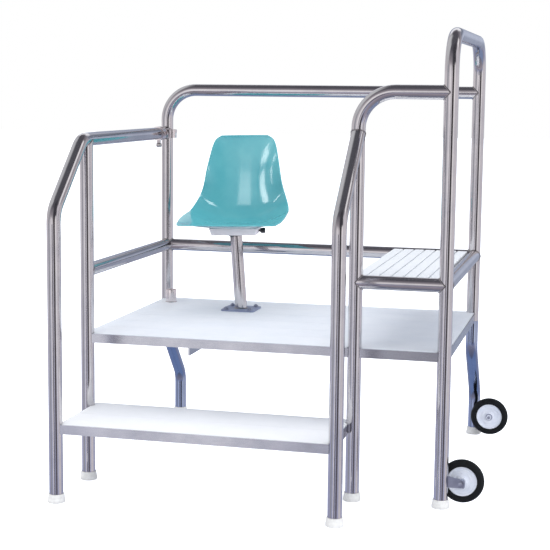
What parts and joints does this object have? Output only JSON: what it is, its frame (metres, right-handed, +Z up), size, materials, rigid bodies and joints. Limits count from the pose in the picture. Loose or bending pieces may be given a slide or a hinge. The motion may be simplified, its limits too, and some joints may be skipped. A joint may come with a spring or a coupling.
{
  "type": "lifeguard stand",
  "caption": "Raised lifeguard stand of bent steel tube with a ribbed platform, step, side shelf, swivel bucket seat, umbrella holder and a pair of wheels on one end.",
  "frame": {"origin": "on the floor, under the middle of the stand's whole width and depth", "axes": "+Z up, +X to the right along the step towards the wheels, +Y from the step to the back"},
  "size_m": [1.465, 1.4518, 1.6342],
  "materials": {
    "stainless_tube": "polished stainless tube",
    "edge_steel": "satin stainless angle",
    "deck_plank": "white coated ribbed aluminium",
    "shelf_slat": "white, soft edges",
    "foot_cap": "white moulded cap",
    "bracket_steel": "satin stainless plate",
    "fastener": "plain stainless fastener",
    "base_plate": "dark blue-grey plate",
    "collar": "black bearing plastic",
    "seat_tray": "pressed satin steel",
    "seat_shell": "glossy gel coat",
    "knob": "black moulded knob",
    "tyre": "solid black rubber",
    "hub": "pale pressed disc",
    "clamp_knob": "turned grip"
  },
  "bodies": {
    "frame": {"left_handrail": "stainless_tube", "left_post": "stainless_tube", "right_handrail": "stainless_tube", "middle_post_rail": "stainless_tube", "end_loop": "stainless_tube", "back_rail": "stainless_tube", "rear_leg_left": "stainless_tube", "rear_leg_right": "stainless_tube", "left_mid_rail": "stainless_tube", "back_mid_rail": "stainless_tube", "shelf_front_rail": "stainless_tube", "shelf_side_rail": "stainless_tube", "deck_angle_front": "edge_steel", "deck_angle_bay": "edge_steel", "deck_angle_left": "edge_steel", "deck_angle_right": "edge_steel", "deck_angle_back": "edge_steel", "deck_bearers": "edge_steel", "seat_bearer": "edge_steel", "deck_plank_1": "deck_plank", "deck_plank_2": "deck_plank", "deck_plank_3": "deck_plank", "deck_plank_4": "deck_plank", "deck_plank_5": "deck_plank", "deck_plank_6": "deck_plank", "step_angle_front": "edge_steel", "step_angle_back": "edge_steel", "step_angle_left": "edge_steel", "step_angle_right": "edge_steel", "step_tread_front": "deck_plank", "step_tread_rear": "deck_plank", "shelf_ledge": "edge_steel", "shelf_crossbars": "edge_steel", "shelf_slats": "shelf_slat", "foot_caps": "foot_cap", "front_wheel_bracket": "bracket_steel", "rear_wheel_bracket": "bracket_steel", "front_axle": "fastener", "rear_axle": "fastener", "axle_nuts": "fastener", "axle_spacers": "fastener", "seat_base": "base_plate", "seat_base_bolts": "fastener", "seat_post": "stainless_tube", "swivel_collar": "collar", "umbrella_ring": "bracket_steel", "umbrella_cup": "bracket_steel"},
    "seat": {"swivel_stem": "bracket_steel", "seat_bracket": "seat_tray", "seat_bolts": "fastener", "seat_shell": "seat_shell"},
    "seat_lock": {"swivel_lock_knob": "knob"},
    "front_wheel": {"front_tyre": "tyre", "front_hub": "hub", "front_bush": "collar"},
    "rear_wheel": {"rear_tyre": "tyre", "rear_hub": "hub", "rear_bush": "collar"},
    "clamp_knob": {"umbrella_knob": "clamp_knob"}
  },
  "joints": [
    {"name": "seat_swivel", "type": "hinge", "parent": "frame", "child": "seat", "pos_m": [-0.3155, 0.28835, 0.549], "axis": [-0.0785, 0, 0.9969], "continuous": true},
    {"name": "seat_lock_turn", "type": "hinge", "parent": "seat", "child": "seat_lock", "pos_m": [-0.24192, 0.30227, 0.86354], "axis": [0.99, 0.1392, 0.0225], "continuous": true},
    {"name": "front_wheel_spin", "type": "hinge", "parent": "frame", "child": "front_wheel", "pos_m": [0.6565, -0.3498, 0.087], "axis": [0, 1, 0], "continuous": true},
    {"name": "rear_wheel_spin", "type": "hinge", "parent": "frame", "child": "rear_wheel", "pos_m": [0.6565, 0.6498, 0.087], "axis": [0, 1, 0], "continuous": true},
    {"name": "clamp_knob_turn", "type": "hinge", "parent": "frame", "child": "clamp_knob", "pos_m": [-0.7015, 0.39995, 1.19], "axis": [0, 0, 1], "continuous": true}
  ]
}
